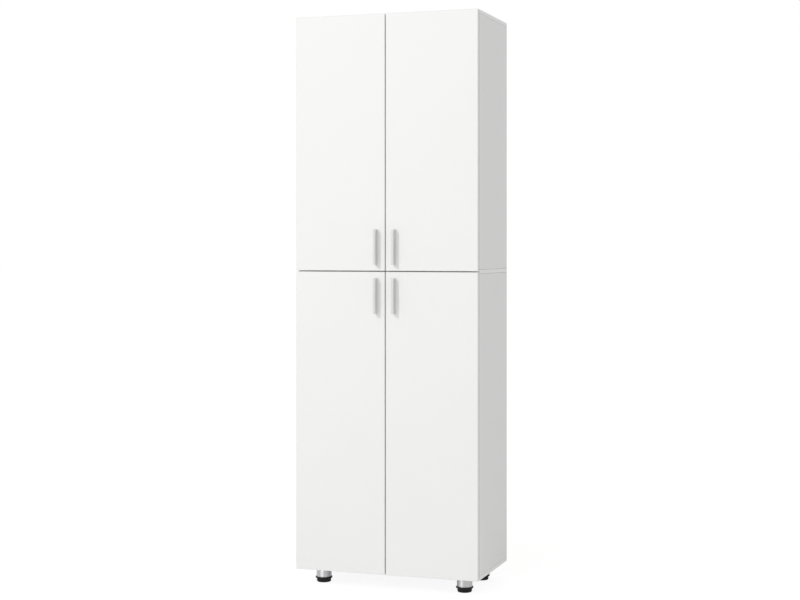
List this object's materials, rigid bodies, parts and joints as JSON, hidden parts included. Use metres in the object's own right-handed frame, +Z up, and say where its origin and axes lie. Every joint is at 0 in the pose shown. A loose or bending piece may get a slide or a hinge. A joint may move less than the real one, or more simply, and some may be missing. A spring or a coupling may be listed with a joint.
{
  "type": "wardrobe",
  "caption": "Tall narrow white storage cabinet with plain overlay doors above and below, bar handles, inner shelves and round levelling legs.",
  "frame": {"origin": "on the floor under the middle of the overall box, handles included", "axes": "+Z up, +X to the right seen from the front, +Y from the doors to the rear; the doors face -Y"},
  "size_m": [0.6, 0.362, 1.8],
  "materials": {
    "white_board": "white melamine-faced chipboard with white edging, satin",
    "white_door": "white melamine-faced door board with white edging, satin",
    "white_hardboard": "white lacquered hardboard, matt",
    "satin_aluminium": "satin silver",
    "chrome_tube": "bright chrome",
    "black_plastic": "moulded black plastic, satin",
    "black_plate": "black lacquered pressed steel",
    "nickel_steel": "nickel-plated pressed steel",
    "zinc_casting": "bare zinc die casting",
    "screw_steel": "zinc-plated steel",
    "dowel_wood": "bare beech",
    "buffer_plastic": "soft clear-white buffer"
  },
  "bodies": {
    "carcass": {"top_board": "white_board", "middle_board": "white_board", "bottom_board": "white_board", "lower_left_side": "white_board", "lower_right_side": "white_board", "upper_left_side": "white_board", "upper_right_side": "white_board", "lower_back": "white_hardboard", "upper_back": "white_hardboard", "lower_shelf_1": "white_board", "lower_shelf_2": "white_board", "upper_shelf_1": "white_board", "upper_shelf_2": "white_board", "shelf_supports": "nickel_steel", "cams": "zinc_casting", "cam_bolts": "nickel_steel", "dowels": "dowel_wood", "hinge_plates": "nickel_steel", "hinge_plate_screws": "screw_steel", "hinge_arms": "nickel_steel", "hinge_arm_screws": "screw_steel", "door_buffers": "buffer_plastic", "wall_bracket": "nickel_steel", "wall_bracket_screws": "screw_steel", "leg_plates": "black_plate", "leg_screws": "screw_steel", "leg_tubes": "chrome_tube", "leg_plugs": "black_plastic"},
    "lower_left_leaf": {"lower_left_door": "white_door", "lower_left_handle": "satin_aluminium", "lower_left_handle_screws": "screw_steel", "lower_left_hinge_cups": "nickel_steel", "lower_left_hinge_pins": "nickel_steel", "lower_left_cup_screws": "screw_steel"},
    "lower_right_leaf": {"lower_right_door": "white_door", "lower_right_handle": "satin_aluminium", "lower_right_handle_screws": "screw_steel", "lower_right_hinge_cups": "nickel_steel", "lower_right_hinge_pins": "nickel_steel", "lower_right_cup_screws": "screw_steel"},
    "upper_left_leaf": {"upper_left_door": "white_door", "upper_left_handle": "satin_aluminium", "upper_left_handle_screws": "screw_steel", "upper_left_hinge_cups": "nickel_steel", "upper_left_hinge_pins": "nickel_steel", "upper_left_cup_screws": "screw_steel"},
    "upper_right_leaf": {"upper_right_door": "white_door", "upper_right_handle": "satin_aluminium", "upper_right_handle_screws": "screw_steel", "upper_right_hinge_cups": "nickel_steel", "upper_right_hinge_pins": "nickel_steel", "upper_right_cup_screws": "screw_steel"},
    "front_left_levelling_foot": {"front_left_foot": "black_plastic"},
    "rear_left_levelling_foot": {"rear_left_foot": "black_plastic"},
    "front_right_levelling_foot": {"front_right_foot": "black_plastic"},
    "rear_right_levelling_foot": {"rear_right_foot": "black_plastic"}
  },
  "joints": [
    {"name": "lower_left_door_hinge", "type": "hinge", "parent": "carcass", "child": "lower_left_leaf", "pos_m": [-0.2925, -0.153, 0.1505], "axis": [0, 0, -1], "range_deg": [0, 100]},
    {"name": "lower_right_door_hinge", "type": "hinge", "parent": "carcass", "child": "lower_right_leaf", "pos_m": [0.2925, -0.153, 0.1505], "axis": [0, 0, 1], "range_deg": [0, 100]},
    {"name": "upper_left_door_hinge", "type": "hinge", "parent": "carcass", "child": "upper_left_leaf", "pos_m": [-0.2925, -0.153, 1.09775], "axis": [0, 0, -1], "range_deg": [0, 100]},
    {"name": "upper_right_door_hinge", "type": "hinge", "parent": "carcass", "child": "upper_right_leaf", "pos_m": [0.2925, -0.153, 1.09775], "axis": [0, 0, 1], "range_deg": [0, 100]},
    {"name": "front_left_foot_screw", "type": "slide", "parent": "carcass", "child": "front_left_levelling_foot", "axis": [0, 0, -1], "range_m": [0, 0.01]},
    {"name": "rear_left_foot_screw", "type": "slide", "parent": "carcass", "child": "rear_left_levelling_foot", "axis": [0, 0, -1], "range_m": [0, 0.01]},
    {"name": "front_right_foot_screw", "type": "slide", "parent": "carcass", "child": "front_right_levelling_foot", "axis": [0, 0, -1], "range_m": [0, 0.01]},
    {"name": "rear_right_foot_screw", "type": "slide", "parent": "carcass", "child": "rear_right_levelling_foot", "axis": [0, 0, -1], "range_m": [0, 0.01]}
  ]
}
